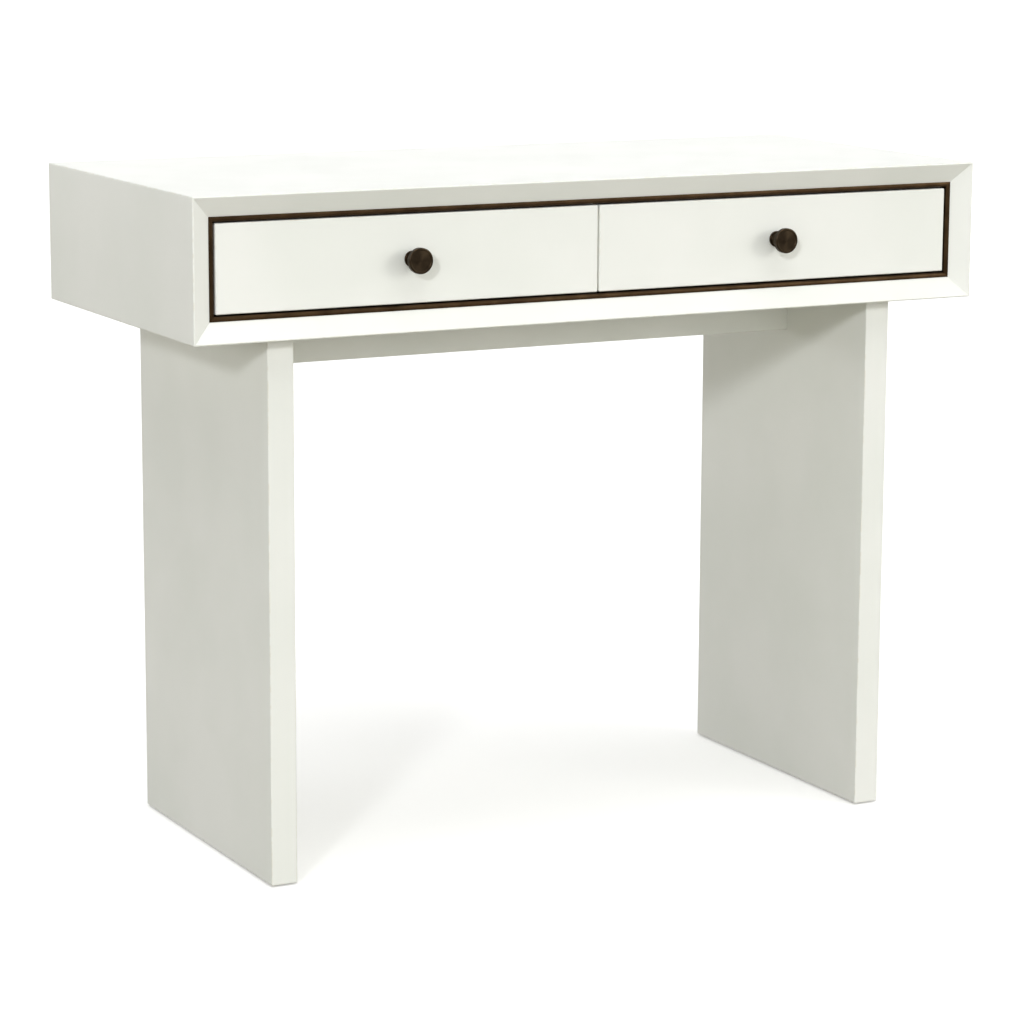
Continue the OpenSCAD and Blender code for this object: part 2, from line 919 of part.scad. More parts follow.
box_screws(right);  // right_box_screws
drawer_slide_screws(left);  // left_drawer_slide_screws
drawer_slide_screws(right);  // right_drawer_slide_screws
slide_inner_rails(left);  // left_slide_inner_rails
slide_inner_rails(right);  // right_slide_inner_rails
slide_middle_rails(left);  // left_slide_middle_rails
slide_middle_rails(right);  // right_slide_middle_rails
slide_outer_cages(left);  // left_slide_outer_cages
slide_outer_cages(right);  // right_slide_outer_cages
slide_outer_balls(left);  // left_slide_outer_balls
slide_outer_balls(right);  // right_slide_outer_balls
slide_inner_cages(left);  // left_slide_inner_cages
slide_inner_cages(right);  // right_slide_inner_cages
slide_inner_balls(left);  // left_slide_inner_balls
slide_inner_balls(right);  // right_slide_inner_balls
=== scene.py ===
# %% [markdown]
# # A lacquered console table with a bronze trim line
#
# The table is a mitred case on two slab legs. Two drawers sit behind a bevelled front frame, and a
# thin line of dark bronze runs round them. The engineering model is loaded first and stays where it
# is: it says where every piece lies and how it moves. Each cell after that makes one piece or one
# finish, and says what the real thing is and why it is made this way.

# %% Load the frame
import math

import bmesh
import bpy
from mathutils import Matrix, Vector


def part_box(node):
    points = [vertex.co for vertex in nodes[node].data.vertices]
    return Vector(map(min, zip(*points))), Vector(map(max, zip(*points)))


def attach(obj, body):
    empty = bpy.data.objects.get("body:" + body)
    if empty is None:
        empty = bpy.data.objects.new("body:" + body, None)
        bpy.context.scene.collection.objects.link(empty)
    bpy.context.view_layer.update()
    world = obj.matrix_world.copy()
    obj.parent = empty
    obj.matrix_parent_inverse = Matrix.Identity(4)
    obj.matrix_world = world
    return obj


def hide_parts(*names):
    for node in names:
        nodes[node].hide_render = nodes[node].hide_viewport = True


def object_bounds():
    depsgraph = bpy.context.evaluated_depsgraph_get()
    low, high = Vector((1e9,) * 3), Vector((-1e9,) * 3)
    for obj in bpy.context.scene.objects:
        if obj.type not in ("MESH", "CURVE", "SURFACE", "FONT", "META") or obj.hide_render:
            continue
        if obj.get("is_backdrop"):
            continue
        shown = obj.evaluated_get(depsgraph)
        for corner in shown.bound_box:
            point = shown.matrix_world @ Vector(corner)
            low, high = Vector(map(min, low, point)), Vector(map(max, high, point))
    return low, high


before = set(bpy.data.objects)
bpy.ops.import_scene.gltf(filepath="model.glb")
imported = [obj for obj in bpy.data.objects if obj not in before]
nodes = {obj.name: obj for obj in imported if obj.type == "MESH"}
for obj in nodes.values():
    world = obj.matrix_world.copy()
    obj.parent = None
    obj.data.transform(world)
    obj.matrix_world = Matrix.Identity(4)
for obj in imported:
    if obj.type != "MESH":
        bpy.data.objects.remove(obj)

cad_low, cad_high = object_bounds()
print("table", [round(1000 * side) for side in cad_high - cad_low], "mm,", len(nodes), "nodes")

# %% [markdown]
# ## Lengths and colours
#
# The frame is in metres, but a joiner thinks in millimetres, so lengths are written as a number
# times MM. Colours are written as the hex codes that a paint chart would give. Blender computes
# with linear light, so one function turns a code into linear values.

# %% Lengths and colours
MM = 0.001


def linear(code):
    """The linear RGBA values of an sRGB hex colour."""
    parts = [int(code[i:i + 2], 16) / 255 for i in (1, 3, 5)]
    return (*[p / 12.92 if p <= 0.04045 else ((p + 0.055) / 1.055) ** 2.4 for p in parts], 1)


print("linear white lacquer", [round(value, 3) for value in linear("#F1F1EA")])

# %% [markdown]
# ## Building a finish from nodes
#
# A finish in Blender is a small network. One function adds a node, sets what it needs and links
# the sockets that are given to it. That keeps each finish short enough to read in one go.
# A colour ramp gets its stops as pairs of a place and a hex code.

# %% One function for nodes
COLOUR_A, COLOUR_B, COLOUR_OUT = 6, 7, 2  # sockets of a Mix node that mixes colours


def add(tree, kind, inputs=None, stops=(), **settings):
    """Adds a node. An input that is a socket is linked, and any other value is set."""
    node = tree.nodes.new("ShaderNode" + kind)
    for name, value in settings.items():
        setattr(node, name, value)
    for key, value in (inputs or {}).items():
        if isinstance(value, bpy.types.NodeSocket):
            tree.links.new(value, node.inputs[key])
        else:
            node.inputs[key].default_value = value
    for i, (place, code) in enumerate(stops):
        ramp = node.color_ramp.elements
        stop = ramp[i] if i < len(ramp) else ramp.new(place)
        stop.position = place
        stop.color = linear(code) if isinstance(code, str) else (code, code, code, 1)
    return node


def new_finish(name):
    """An empty material and its node tree."""
    finish = bpy.data.materials.new(name)
    finish.use_nodes = True
    finish.node_tree.nodes.clear()
    return finish, finish.node_tree


# %% [markdown]
# ## White lacquer
#
# The case, the legs and the drawer fronts are fibreboard under a sprayed white polyurethane
# lacquer. The eye sees a smooth, warm white with a soft sheen. Up close a sprayed coat is never
# flat: it dries with a faint ripple called orange peel, a few millimetres across and some
# thousandths deep. Along the rounded arrises the coat pulls thin and gets rubbed, so it is a touch
# warmer and glossier there. The mask for the arrises is an attribute that the mesh code writes
# on their faces. The roughness stays just above 0.274 everywhere, also where it is rubbed: a
# denoised render draws sharp patches where it crosses that value.

# %% White lacquer
PEEL = 3.2 * MM       # width of the ripples in the sprayed coat
PEEL_DEPTH = 0.002 * MM
CLOUD = 160 * MM      # width of the slow changes from one pass of the spray gun to the next
HAZE = 38 * MM        # width of the slightly duller patches in the sheen
RUBBED = 11 * MM      # length of a rubbed stretch on an arris
THIN_COAT = 0.35      # how much of the warmer ground a rubbed arris lets through


def sprayed_lacquer():
    finish, tree = new_finish("satin lacquer, sprayed on fibreboard")
    place = add(tree, "TexCoord").outputs["Object"]
    cloud = add(tree, "TexNoise", {"Vector": place, "Scale": 1 / CLOUD, "Detail": 3.0})
    tone = add(tree, "ValToRGB", {"Fac": cloud.outputs["Fac"]}, [(0.35, "#EEF0E9"), (0.65, "#F3F4EE")])
    arris = add(tree, "Attribute", attribute_name="arris").outputs["Fac"]
    edge_spot_noise = add(tree, "TexNoise", {"Vector": place, "Scale": 1 / RUBBED, "Detail": 4.0})
    patches = add(tree, "ValToRGB", {"Fac": edge_spot_noise.outputs["Fac"]}, [(0.46, 0.0), (0.62, 1.0)])
    edge_spots = add(tree, "Math", {0: arris, 1: patches.outputs["Color"]}, operation="MULTIPLY")
    thin = add(tree, "Math", {0: edge_spots.outputs[0], 1: THIN_COAT}, operation="MULTIPLY")
    colour = add(tree, "Mix", {
        0: thin.outputs[0], COLOUR_A: tone.outputs["Color"], COLOUR_B: linear("#E2DDCB"),
    }, data_type="RGBA")
    haze = add(tree, "TexNoise", {"Vector": place, "Scale": 1 / HAZE, "Detail": 5.0})
    sheen = add(tree, "MapRange", {
        "Value": haze.outputs["Fac"], "From Min": 0.3, "From Max": 0.7, "To Min": 0.29, "To Max": 0.35,
    })
    gloss = add(tree, "MapRange", {
        "Value": edge_spots.outputs[0], "To Min": 1.0, "To Max": 0.95,
    })
    rough = add(tree, "Math", {0: sheen.outputs[0], 1: gloss.outputs[0]}, operation="MULTIPLY")
    peel = add(tree, "TexNoise", {"Vector": place, "Scale": 1 / PEEL, "Detail": 1.5, "Roughness": 0.4})
    relief = add(tree, "Bump", {"Height": peel.outputs["Fac"], "Distance": PEEL_DEPTH, "Strength": 1.0})
    coat = add(tree, "BsdfPrincipled", {
        "Base Color": colour.outputs[COLOUR_OUT], "Roughness": rough.outputs[0], "IOR": 1.5,
        "Normal": relief.outputs["Normal"],
    })
    add(tree, "OutputMaterial", {"Surface": coat.outputs["BSDF"]})
    return finish


white_lacquer = sprayed_lacquer()
print("made", white_lacquer.name)

# %% [markdown]
# ## Dark bronze
#
# The trim line and the knobs are solid bronze with a dark chemical patina, rubbed back with oil.
# Rubbing leaves fine lines. Along the rounded edges the brown gives way to spots of a warmer
# copper: partly wear where the metal is touched, partly a painted highlight for the light the
# edges catch. The strips are brushed along their length. A knob is faced on a lathe, which leaves
# rings round its centre. Real brush lines are about a tenth of a millimetre apart, too fine to
# show on a whole table, so both are drawn about four times as coarse. Fine lines spread a
# reflection across themselves: a strip shows it as a soft band and a turned disc as a wedge. The
# shader's anisotropy does that, once it is told which way lies across the lines. The strips are
# a slightly lighter and warmer brown than the knobs.

# %% Dark bronze
BRUSH = 0.4 * MM      # spacing of the brush lines across a strip
BRUSH_RUN = 45 * MM   # how far one line can be followed
RING = 0.45 * MM      # spacing of the lathe rings on a knob
QUARTER_TURN = 0.25   # from along the rings to across them
SPREAD = 0.8          # how strongly the lines spread a reflection across themselves, up to 1
STAIN = 20 * MM       # width of the clouds in the patina
EDGE_SPOT = 5 * MM          # length of a copper spot on an edge: partly wear, partly a painted highlight
LINE_DEPTH = 0.02 * MM


def patina(tree, place, lines, across, browns, streak_brown, swing=0.0):
    """The bronze, given its tool marks, the direction across them and its colours."""
    cloud = add(tree, "TexNoise", {"Vector": place, "Scale": 1 / STAIN, "Detail": 3.0, "Roughness": 0.5})
    brown = add(tree, "ValToRGB", {"Fac": cloud.outputs["Fac"]}, list(zip((0.30, 0.50, 0.72), browns)))
    streak = add(tree, "ValToRGB", {"Fac": lines}, [(0.40, 0.0), (0.80, 0.35)])
    streaked = add(tree, "Mix", {
        0: streak.outputs["Color"], COLOUR_A: brown.outputs["Color"], COLOUR_B: linear(streak_brown),
    }, data_type="RGBA")
    # Spots of copper on the rounded edges: partly wear, partly a painted highlight for the light the edges
    # catch.
    arris = add(tree, "Attribute", attribute_name="arris").outputs["Fac"]
    edge_spot_noise = add(tree, "TexNoise", {"Vector": place, "Scale": 1 / EDGE_SPOT, "Detail": 3.0})
    patches = add(tree, "ValToRGB", {"Fac": edge_spot_noise.outputs["Fac"]}, [(0.45, 0.0), (0.75, 0.45)])
    edge_spots = add(tree, "Math", {0: arris, 1: patches.outputs["Color"]}, operation="MULTIPLY")
    colour = add(tree, "Mix", {
        0: edge_spots.outputs[0], COLOUR_A: streaked.outputs[COLOUR_OUT], COLOUR_B: linear("#80634A"),
    }, data_type="RGBA")
    rough = add(tree, "MapRange", {"Value": lines, "To Min": 0.30, "To Max": 0.46})
    relief = add(tree, "Bump", {"Height": lines, "Distance": LINE_DEPTH, "Strength": 0.6})
    metal = add(tree, "BsdfPrincipled", {
        "Base Color": colour.outputs[COLOUR_OUT], "Metallic": 1.0, "Roughness": rough.outputs[0],
        "Normal": relief.outputs["Normal"], "Tangent": across,
        "Anisotropic": SPREAD, "Anisotropic Rotation": swing,
    })
    add(tree, "OutputMaterial", {"Surface": metal.outputs["BSDF"]})


def brushed_bronze(axis):
    """Bronze strip brushed along X (0) or Z (2)."""
    finish, tree = new_finish("oil rubbed bronze, brushed along " + "XYZ"[axis])
    place = add(tree, "TexCoord").outputs["Object"]
    spacing = [1 / BRUSH] * 3
    spacing[axis] = 1 / BRUSH_RUN
    stretched = add(tree, "Mapping", {"Vector": place, "Scale": spacing})
    lines = add(tree, "TexNoise", {"Vector": stretched.outputs["Vector"], "Scale": 1.0, "Detail": 3.0})
    across = add(tree, "CombineXYZ", {"XYZ"[2 - axis]: 1.0})
    patina(tree, place, lines.outputs["Fac"], across.outputs["Vector"],
           ("#35281A", "#403121", "#4D3C29"), "#604A33")
    return finish


def turned_bronze():
    """Bronze faced on a lathe; the piece's own origin is on the lathe's axis, which is Y."""
    finish, tree = new_finish("oil rubbed bronze, turned")
    place = add(tree, "TexCoord").outputs["Object"]
    flat = add(tree, "VectorMath", {0: place, 1: (1.0, 0.0, 1.0)}, operation="MULTIPLY")
    radius = add(tree, "VectorMath", {0: flat.outputs["Vector"]}, operation="LENGTH")
    along = add(tree, "SeparateXYZ", {"Vector": place})
    out = add(tree, "Math", {0: radius.outputs["Value"], 1: along.outputs["Y"]}, operation="SUBTRACT")
    rings = add(tree, "TexNoise", {"W": out.outputs[0], "Scale": 1 / RING, "Detail": 3.0},
                noise_dimensions="1D")
    around = add(tree, "Tangent", direction_type="RADIAL", axis="Y")
    patina(tree, place, rings.outputs["Fac"], around.outputs["Tangent"],
           ("#2B231B", "#362D23", "#43382B"), "#564835", swing=QUARTER_TURN)
    return finish


bronze_across = brushed_bronze(0)
bronze_upright = brushed_bronze(2)
bronze_turned = turned_bronze()
print("made", bronze_across.name, "/", bronze_upright.name, "/", bronze_turned.name)

# %% [markdown]
# ## Maple
#
# The drawer boxes are hard maple, sanded and sealed with a thin clear satin coat. Maple is pale
# and close-grained: fine growth lines a few millimetres apart run along the board, slightly
# wavy, with short darker flecks between them. At the dovetails the saw has cut across the
# fibres, and end grain drinks more of the sealer, so it is darker and shows small pores. The
# pattern is solid: it is a function of where a point lies in the wood, so the lines on a face
# carry on over its edge, as they do in a real board.

# %% Maple
GROWTH = 5.0 * MM     # distance between growth lines
FLECK = 0.7 * MM      # width of a fleck
FLECK_RUN = 14        # length of a fleck, in widths
SWAY = 26 * MM        # distance over which a growth line sways
STRETCH = 0.06        # how slowly the figure changes along the grain
END_SOAK = 0.55       # how much darker the sealer makes end grain


def sealed_maple(axis):
    """Maple with its grain along X (0) or Y (1)."""
    finish, tree = new_finish("sealed maple, grain along " + "XYZ"[axis])
    coordinates = add(tree, "TexCoord")
    place = coordinates.outputs["Object"]
    squeeze = [1.0] * 3
    squeeze[axis] = STRETCH
    drawn = add(tree, "Mapping", {"Vector": place, "Scale": squeeze}).outputs["Vector"]
    sway = add(tree, "TexNoise", {"Vector": drawn, "Scale": 1 / SWAY, "Detail": 2.0})
    bent = add(tree, "MapRange", {"Value": sway.outputs["Fac"], "To Min": 0.0, "To Max": 9 * GROWTH})
    apart = add(tree, "SeparateXYZ", {"Vector": drawn})
    across = add(tree, "Math", {0: apart.outputs["XYZ"[1 - axis]], 1: apart.outputs["Z"]}, operation="ADD")
    depth = add(tree, "Math", {0: across.outputs[0], 1: bent.outputs[0]}, operation="ADD")
    growth = add(tree, "TexNoise", {"W": depth.outputs[0], "Scale": 1 / GROWTH, "Detail": 4.0},
                 noise_dimensions="1D")
    base = add(tree, "ValToRGB", {"Fac": growth.outputs["Fac"]}, [
        (0.28, "#CBAA7C"), (0.46, "#DEC498"), (0.70, "#E8D3AC"),
    ])
    fine = [1 / FLECK] * 3
    fine[axis] = 1 / (FLECK_RUN * FLECK)
    grains = add(tree, "Mapping", {"Vector": place, "Scale": fine}).outputs["Vector"]
    fleck = add(tree, "TexNoise", {"Vector": grains, "Scale": 1.0, "Detail": 2.0})
    dark = add(tree, "ValToRGB", {"Fac": fleck.outputs["Fac"]}, [(0.58, 0.0), (0.72, 0.35)])
    flecked = add(tree, "Mix", {
        0: dark.outputs["Color"], COLOUR_A: base.outputs["Color"], COLOUR_B: linear("#A9824F"),
    }, data_type="RGBA")
    facing = add(tree, "SeparateXYZ", {"Vector": coordinates.outputs["Normal"]})
    end_on = add(tree, "Math", {0: facing.outputs["XYZ"[axis]]}, operation="ABSOLUTE")
    end = add(tree, "MapRange", {"Value": end_on.outputs[0], "From Min": 0.6, "From Max": 0.9})
    soaked = add(tree, "Math", {0: end.outputs[0], 1: END_SOAK}, operation="MULTIPLY")
    colour = add(tree, "Mix", {
        0: soaked.outputs[0], COLOUR_A: flecked.outputs[COLOUR_OUT], COLOUR_B: linear("#B48F5C"),
    }, data_type="RGBA")
    rough = add(tree, "MapRange", {"Value": fleck.outputs["Fac"], "To Min": 0.36, "To Max": 0.56})
    relief = add(tree, "Bump", {"Height": fleck.outputs["Fac"], "Distance": 0.03 * MM, "Strength": 0.7})
    wood = add(tree, "BsdfPrincipled", {
        "Base Color": colour.outputs[COLOUR_OUT], "Roughness": rough.outputs[0], "IOR": 1.5,
        "Normal": relief.outputs["Normal"],
    })
    add(tree, "OutputMaterial", {"Surface": wood.outputs["BSDF"]})
    return finish


maple_across = sealed_maple(0)
maple_deep = sealed_maple(1)
print("made", maple_across.name, "/", maple_deep.name)

# %% [markdown]
# ## Birch plywood
#
# The drawer bottoms, the spacers behind the slides and the splines in the mitres are birch
# plywood. Its faces show broad, soft figure, and its edges show the veneers: sheets about 1.4 mm
# thick with their grain turned by a quarter each time, so every other one is end-on and darker,
# with a thin brown glue line between. The layers are a function of the height in the sheet.

# %% Birch plywood
PLY = 1.4 * MM        # thickness of one veneer
FIGURE = 16 * MM      # width of the figure on a face
FIGURE_RUN = 190 * MM


def birch_plywood(thin_axis):
    """Plywood whose sheet is thin along X (0) or Z (2)."""
    finish, tree = new_finish("birch plywood, thin along " + "XYZ"[thin_axis])
    coordinates = add(tree, "TexCoord")
    place = coordinates.outputs["Object"]
    figure = [1 / FIGURE] * 3
    figure[1] = 1 / FIGURE_RUN
    drawn = add(tree, "Mapping", {"Vector": place, "Scale": figure}).outputs["Vector"]
    swirl = add(tree, "TexNoise", {"Vector": drawn, "Scale": 1.0, "Detail": 5.0, "Distortion": 0.6})
    face = add(tree, "ValToRGB", {"Fac": swirl.outputs["Fac"]}, [
        (0.30, "#D3B98F"), (0.50, "#DDC59B"), (0.72, "#E5D1AB"),
    ])
    apart = add(tree, "SeparateXYZ", {"Vector": place})
    layer = add(tree, "Math", {0: apart.outputs["XYZ"[thin_axis]], 1: 2 * PLY}, operation="DIVIDE")
    step = add(tree, "Math", {0: layer.outputs[0]}, operation="FRACT")
    stack = add(tree, "ValToRGB", {"Fac": step.outputs[0]}, [
        (0.00, "#6F5233"), (0.05, "#E0C79C"), (0.46, "#D8BC8E"), (0.50, "#6F5233"),
        (0.55, "#B08C5B"), (0.96, "#A88453"), (1.00, "#6F5233"),
    ])
    facing = add(tree, "SeparateXYZ", {"Vector": coordinates.outputs["Normal"]})
    flat_on = add(tree, "Math", {0: facing.outputs["XYZ"[thin_axis]]}, operation="ABSOLUTE")
    is_face = add(tree, "MapRange", {"Value": flat_on.outputs[0], "From Min": 0.5, "From Max": 0.7})
    colour = add(tree, "Mix", {
        0: is_face.outputs[0], COLOUR_A: stack.outputs["Color"], COLOUR_B: face.outputs["Color"],
    }, data_type="RGBA")
    rough = add(tree, "MapRange", {"Value": swirl.outputs["Fac"], "To Min": 0.42, "To Max": 0.62})
    relief = add(tree, "Bump", {"Height": swirl.outputs["Fac"], "Distance": 0.08 * MM, "Strength": 0.5})
    wood = add(tree, "BsdfPrincipled", {
        "Base Color": colour.outputs[COLOUR_OUT], "Roughness": rough.outputs[0], "IOR": 1.5,
        "Normal": relief.outputs["Normal"],
    })
    add(tree, "OutputMaterial", {"Surface": wood.outputs["BSDF"]})
    return finish


plywood_flat = birch_plywood(2)
plywood_upright = birch_plywood(0)
print("made", plywood_flat.name, "/", plywood_upright.name)

# %% [markdown]
# ## Beech, steel and plastics
#
# What is left is hardware. The dowels are turned beech. The slides and the screws are steel with
# a thin bright zinc plating: cool, slightly cloudy, with rolling marks along the strip. The balls
# are polished bearing steel. The cages that hold the balls are moulded acetal and the glides
# are moulded nylon, both with the fine matt grain of a spark-eroded mould. They share one
# recipe: a colour with slow clouds, a finer pattern for the relief, and a roughness that
# follows it.

# %% Beech, steel and plastics
TARNISH = 22 * MM     # width of the slow clouds


def worked_finish(name, low, high, rough, cell, run, depth, metallic=0.0, ior=1.5):
    """A finish with clouds from low to high and marks one cell wide that run along Y."""
    finish, tree = new_finish(name)
    place = add(tree, "TexCoord").outputs["Object"]
    cloud = add(tree, "TexNoise", {"Vector": place, "Scale": 1 / TARNISH, "Detail": 6.0, "Roughness": 0.6})
    tone = add(tree, "ValToRGB", {"Fac": cloud.outputs["Fac"]}, [(0.32, low), (0.68, high)])
    drawn = add(tree, "Mapping", {"Vector": place, "Scale": (1 / cell, 1 / run, 1 / cell)})
    marks = add(tree, "TexNoise", {"Vector": drawn.outputs["Vector"], "Scale": 1.0, "Detail": 3.0})
    shade = add(tree, "ValToRGB", {"Fac": marks.outputs["Fac"]}, [(0.3, 0.86), (0.7, 1.0)])
    colour = add(tree, "Mix", {
        0: 1.0, COLOUR_A: tone.outputs["Color"], COLOUR_B: shade.outputs["Color"],
    }, data_type="RGBA", blend_type="MULTIPLY")
    varied = add(tree, "MapRange", {
        "Value": marks.outputs["Fac"], "From Min": 0.3, "From Max": 0.7,
        "To Min": 0.8 * rough, "To Max": 1.25 * rough,
    })
    relief = add(tree, "Bump", {"Height": marks.outputs["Fac"], "Distance": depth, "Strength": 0.8})
    body = add(tree, "BsdfPrincipled", {
        "Base Color": colour.outputs[COLOUR_OUT], "Roughness": varied.outputs[0],
        "Metallic": metallic, "IOR": ior, "Normal": relief.outputs["Normal"],
    })
    add(tree, "OutputMaterial", {"Surface": body.outputs["BSDF"]})
    return finish


beech = worked_finish("turned beech", "#B98F5F", "#CFA878", 0.5, 0.6 * MM, 6 * MM, 0.05 * MM)
zinc_steel = worked_finish(
    "zinc plated steel, cold rolled", "#A9AEB3", "#C6CACD", 0.30, 0.5 * MM, 60 * MM, 0.01 * MM, 1.0)
bearing_steel = worked_finish(
    "bearing steel, polished", "#9DA1A6", "#B4B8BC", 0.10, 0.3 * MM, 0.3 * MM, 0.002 * MM, 1.0)
acetal = worked_finish(
    "acetal, moulded", "#3A3C3E", "#484A4C", 0.42, 0.25 * MM, 0.25 * MM, 0.01 * MM, ior=1.48)
nylon = worked_finish(
    "nylon, moulded", "#4A4A48", "#585855", 0.50, 0.3 * MM, 0.3 * MM, 0.02 * MM, ior=1.53)
print("made", ", ".join(m.name for m in (beech, zinc_steel, bearing_steel, acetal, nylon)))

# %% [markdown]
# ## Turning a bmesh into a piece
#
# A bmesh is Blender's editable mesh. Every piece made here ends the same way: the mesh becomes an
# object, gets its finish, rides on the body that carries it in the engineering model and stands
# for the nodes that it replaces. Smooth shading would bend the light over a wide flat face, so
# the weighted normal modifier gives the large faces the last word and only the arrises look
# round.

# %% Finishing a piece
SHARP = math.radians(38)  # faces that meet more steeply than this show an edge


def finish_piece(name, mesh_code, body, replaced, finish, at=(0, 0, 0)):
    """Makes the object from a bmesh and puts it in the frame."""
    mesh = bpy.data.meshes.new(name)
    bmesh.ops.recalc_face_normals(mesh_code, faces=mesh_code.faces)
    for face in mesh_code.faces:
        face.smooth = True
    mesh_code.to_mesh(mesh)
    mesh_code.free()
    mesh.set_sharp_from_angle(angle=SHARP)
    mesh.materials.append(finish)
    piece = bpy.data.objects.new(name, mesh)
    piece.location = at
    bpy.context.scene.collection.objects.link(piece)
    normals = piece.modifiers.new("flat faces stay flat", "WEIGHTED_NORMAL")
    normals.keep_sharp = True
    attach(piece, body)
    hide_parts(*replaced)
    print(name, len(mesh.vertices), "points,", len(mesh.polygons), "faces")
    return piece


# %% [markdown]
# ## The case: one ring, sawn into four boards
#
# The case is four boards that meet in mitres. Each has a wide bevel on its front edge, so the
# front reads as a picture frame. Modelling four boards one by one makes it hard to round the
# arrises, because a rounding has to run through the mitre from one board to the next. A joiner
# works the other way round: glue up, then sand. So the section is swept round the case as one
# ring, with its corners rounded, and the ring is then cut along the mitres with a fine kerf.
# What is left of the kerf is the hairline that shows where two boards meet.
#
# The section is a list of points, each with its distance from the case's outer face and its
# place from front to back. A helper replaces a corner of such an outline with an arc.

# %% Outline helpers


def rounded(outline, radii, steps=5):
    """The closed outline with each corner that has a radius replaced by an arc."""
    result = []
    for i, (corner, radius) in enumerate(zip(outline, radii)):
        here = Vector(corner)
        if not radius:
            result.append(here)
            continue
        before = (Vector(outline[i - 1]) - here).normalized()
        after = (Vector(outline[(i + 1) % len(outline)]) - here).normalized()
        half = before.angle(after) / 2
        centre = here + (before + after).normalized() * radius / math.sin(half)
        start = here + before * radius / math.tan(half) - centre
        stop = here + after * radius / math.tan(half) - centre
        sweep = start.angle_signed(stop)
        for k in range(steps + 1):
            spoke = start.copy()
            spoke.rotate(Matrix.Rotation(-sweep * k / steps, 2))
            result.append(centre + spoke)
    return result


def lofted(loops, closed, arris_under):
    """A bmesh through loops of points. Faces narrower than arris_under are marked as arrises."""
    same_point = 0.001 * MM
    mesh_code = bmesh.new()
    arris = mesh_code.faces.layers.float.new("arris")
    rows = [[mesh_code.verts.new(point) for point in loop] for loop in loops]
    following = rows[1:] + rows[:1] if closed else rows[1:]
    for row, after in zip(rows, following):
        for i, here in enumerate(row):
            j = (i + 1) % len(row)
            face = mesh_code.faces.new((here, row[j], after[j], after[i]))
            across = (here.co - after[i].co).length
            along = (here.co - row[j].co).length
            width = min(across, along) if closed else across
            face[arris] = 1.0 if width < arris_under else 0.0
    bmesh.ops.remove_doubles(mesh_code, verts=mesh_code.verts, dist=same_point)
    return mesh_code


def ring(section, half_w, half_h, middle_z, corner=0.0, turns=6, arris_under=0.8 * MM):
    """The section swept round a rectangle. Its points are (depth inside the outer face, y)."""
    loops = []
    for depth, y in section:
        radius = max(corner - depth, 0.0)
        loop = []
        for quarter, (side_x, side_z) in enumerate([(1, 1), (-1, 1), (-1, -1), (1, -1)]):
            x = side_x * (half_w - depth - radius)
            z = middle_z + side_z * (half_h - depth - radius)
            for turn in range(turns + 1):
                angle = math.pi / 2 * (quarter + turn / turns)
                loop.append((x + radius * math.cos(angle), y, z + radius * math.sin(angle)))
        loops.append(loop)
    return lofted(loops, closed=True, arris_under=arris_under)


sample = rounded([(0, 0), (1, 0), (1, 1), (0, 1)], [0.1, 0, 0, 0])
print("a square with one round corner has", len(sample), "points, and starts at", sample[0])

# %% [markdown]
# ## Sawing the mitres
#
# Cutting a mesh with a plane is one bmesh call. It drops what lies beyond the plane and leaves an
# open end, which is closed with one flat face, the glue face of the mitre. Boards at the top and
# the bottom are first parted from each other across the middle, since a mitre plane runs on
# through the whole case.

# %% Sawing


def saw(mesh_code, point, normal, close=True):
    """Drops what lies beyond the plane, and closes the cut."""
    everything = mesh_code.verts[:] + mesh_code.edges[:] + mesh_code.faces[:]
    bmesh.ops.bisect_plane(
        mesh_code, geom=everything, plane_co=point, plane_no=normal, clear_outer=True, dist=1e-7)
    if close:
        rim = [edge for edge in mesh_code.edges if edge.is_boundary]
        bmesh.ops.contextual_create(mesh_code, geom=rim)


def mitred(whole, side, half_w, half_h, middle_z, kerf):
    """A copy of the part of a ring on one side, (0, 1) being the top, cut along its mitres."""
    board = whole.copy()
    side_x, side_z = side
    if side_z:
        saw(board, (0, 0, middle_z), (0, 0, -side_z), close=False)
    for end in (-1, 1):
        corner_x, corner_z = (end, side_z) if side_z else (side_x, end)
        normal = Vector((corner_x, 0, -side_z)) if side_z else Vector((-side_x, 0, corner_z))
        normal.normalize()
        corner = Vector((corner_x * half_w, 0, middle_z + corner_z * half_h))
        saw(board, corner - normal * kerf / 2, normal)
    return board


SIDES = {"top": (0, 1), "bottom": (0, -1), "left": (-1, 0), "right": (1, 0)}
print("boards of a ring:", ", ".join(SIDES))

# %% [markdown]
# ## The case boards
#
# The sizes come from the engineering model: the outer faces from the four panels, the board's
# thickness from where the trim starts, and the rabbet for the back from the back panel. The
# bevel's depth is read from the face of a drawer front, which lies 0.4 mm further back than the
# engineering model's bevel, so this bevel is that much deeper. The engineering model has a narrow
# flat rim outside the bevel. Here one round nose takes its place, and runs from the outer face
# into the bevel.

# %% The case boards
NOSE = 1.5 * MM       # radius of the front edge and of the four long corners
REAR_EASE = 0.8 * MM  # radius of the rear edges
INNER_EASE = 0.35 * MM
KERF = 0.16 * MM      # what shows of a mitre joint
RIM = 1.2 * MM        # width of the engineering model's flat rim

case_low = Vector((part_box("left_end_panel")[0].x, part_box("top_panel")[0].y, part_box("bottom_panel")[0].z))
case_high = Vector((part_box("right_end_panel")[1].x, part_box("top_panel")[1].y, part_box("top_panel")[1].z))
half_w = (case_high.x - case_low.x) / 2
half_h = (case_high.z - case_low.z) / 2
middle_z = (case_high.z + case_low.z) / 2
board_t = case_high.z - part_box("trim_top")[1].z
back_low, back_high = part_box("back_panel")
rabbet_w = board_t - (case_high.z - back_high.z)
trim_low, trim_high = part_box("trim_bottom")
bevel_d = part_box("left_drawer_front")[0].y - case_low.y
nose_y = case_low.y - bevel_d * RIM / (board_t - RIM)

